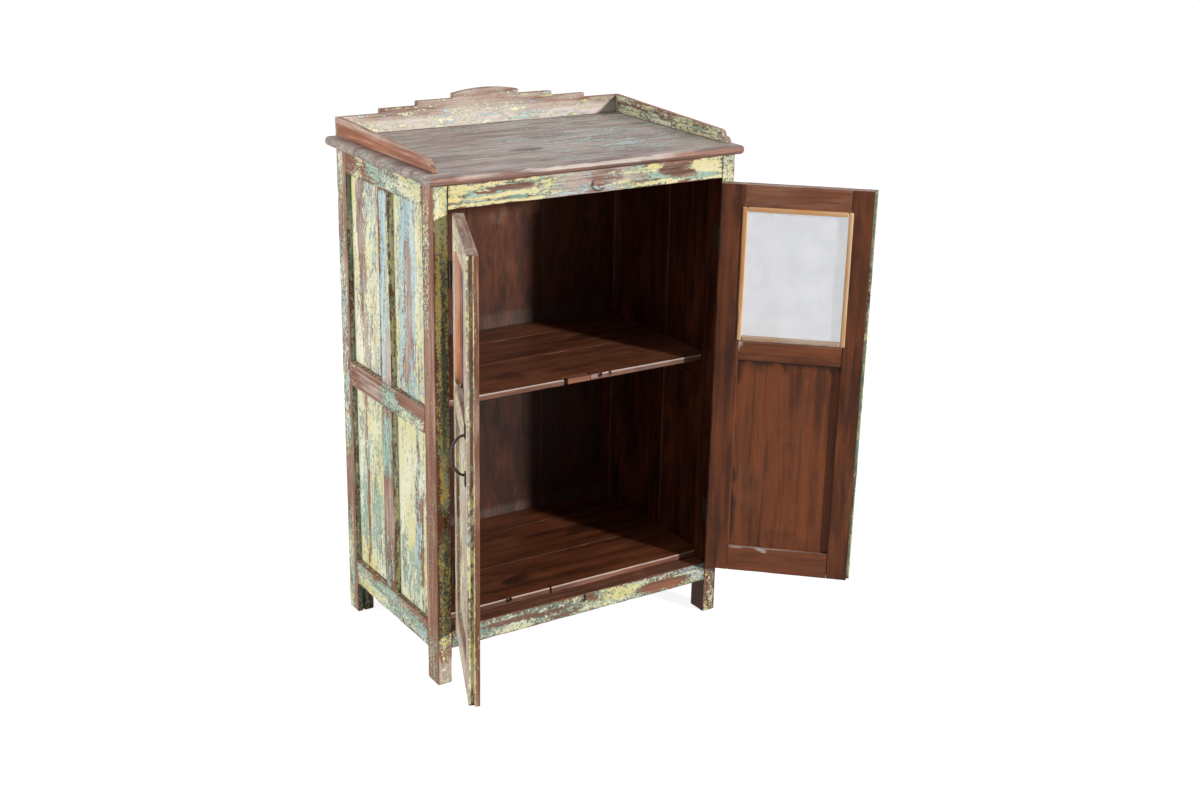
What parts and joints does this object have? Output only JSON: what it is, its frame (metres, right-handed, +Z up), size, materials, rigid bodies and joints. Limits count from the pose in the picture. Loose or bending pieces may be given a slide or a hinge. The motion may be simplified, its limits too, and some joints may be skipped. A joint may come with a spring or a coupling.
{
  "type": "display cabinet",
  "caption": "Small free-standing wooden display cupboard with hinged doors, gauze upper door lights, panelled sides, an inner shelf and a stepped gallery round the top.",
  "frame": {"origin": "on the floor, at the middle of the box round the cabinet with its doors open as in the picture", "axes": "+Z up, -Y out of the front, +X to the right seen from the front"},
  "size_m": [0.9441, 0.7174, 1.0721],
  "materials": {
    "painted_wood": "chipped layers of butter yellow, blue-green and sky blue paint over bare brown wood",
    "stained_wood": "dark red-brown stain, worn, satin",
    "bare_wood": "bare weathered brown wood",
    "top_wood": "grey-brown rubbed wood, traces of paint",
    "bead_wood": "pale new softwood",
    "wire_gauze": "fine woven wire, dull",
    "black_iron": "black wrought iron",
    "painted_iron": "over-painted steel"
  },
  "bodies": {
    "carcass": {"back_board_left": "bare_wood", "back_board_right": "bare_wood", "back_bottom_rail": "bare_wood", "back_post_left": "painted_wood", "back_post_right": "painted_wood", "back_top_rail": "bare_wood", "floor_back_board": "stained_wood", "floor_front_board": "stained_wood", "front_bottom_rail": "painted_wood", "front_post_left": "painted_wood", "front_post_right": "painted_wood", "front_top_rail": "painted_wood", "gallery_back": "top_wood", "gallery_left": "top_wood", "gallery_right": "top_wood", "left_lower_hinge_frame_leaf": "painted_iron", "left_upper_hinge_frame_leaf": "painted_iron", "right_lower_hinge_frame_leaf": "painted_iron", "right_upper_hinge_frame_leaf": "painted_iron", "shelf_back_board": "stained_wood", "shelf_front_board": "stained_wood", "side_bottom_rail_left": "painted_wood", "side_bottom_rail_right": "painted_wood", "side_mid_rail_left": "painted_wood", "side_mid_rail_right": "painted_wood", "side_muntin_left": "painted_wood", "side_muntin_right": "painted_wood", "side_panel_lower_back_left": "painted_wood", "side_panel_lower_back_right": "painted_wood", "side_panel_lower_front_left": "painted_wood", "side_panel_lower_front_right": "painted_wood", "side_panel_upper_back_left": "painted_wood", "side_panel_upper_back_right": "painted_wood", "side_panel_upper_front_left": "painted_wood", "side_panel_upper_front_right": "painted_wood", "side_top_rail_left": "painted_wood", "side_top_rail_right": "painted_wood", "top_back_board": "top_wood", "top_front_board": "top_wood"},
    "left_door": {"door_handle": "black_iron", "left_door_bead": "bead_wood", "left_door_bottom_rail": "stained_wood", "left_door_hinge_stile": "stained_wood", "left_door_meeting_stile": "stained_wood", "left_door_mid_rail": "stained_wood", "left_door_panel": "stained_wood", "left_door_screen": "wire_gauze", "left_door_top_rail": "stained_wood", "left_lower_hinge_door_leaf": "painted_iron", "left_upper_hinge_door_leaf": "painted_iron"},
    "right_door": {"right_door_bead": "bead_wood", "right_door_bottom_rail": "stained_wood", "right_door_hinge_stile": "stained_wood", "right_door_meeting_stile": "stained_wood", "right_door_mid_rail": "stained_wood", "right_door_panel": "stained_wood", "right_door_screen": "wire_gauze", "right_door_top_rail": "stained_wood", "right_lower_hinge_door_leaf": "painted_iron", "right_upper_hinge_door_leaf": "painted_iron"}
  },
  "joints": [
    {"name": "left_door_hinge", "type": "hinge", "parent": "carcass", "child": "left_door", "pos_m": [-0.34241, -0.07325, 0.5], "axis": [0, 0, 1], "range_deg": [-61.4, 113.6]},
    {"name": "right_door_hinge", "type": "hinge", "parent": "carcass", "child": "right_door", "pos_m": [0.25429, -0.07325, 0.5], "axis": [0, 0, 1], "range_deg": [-137, 38]}
  ]
}
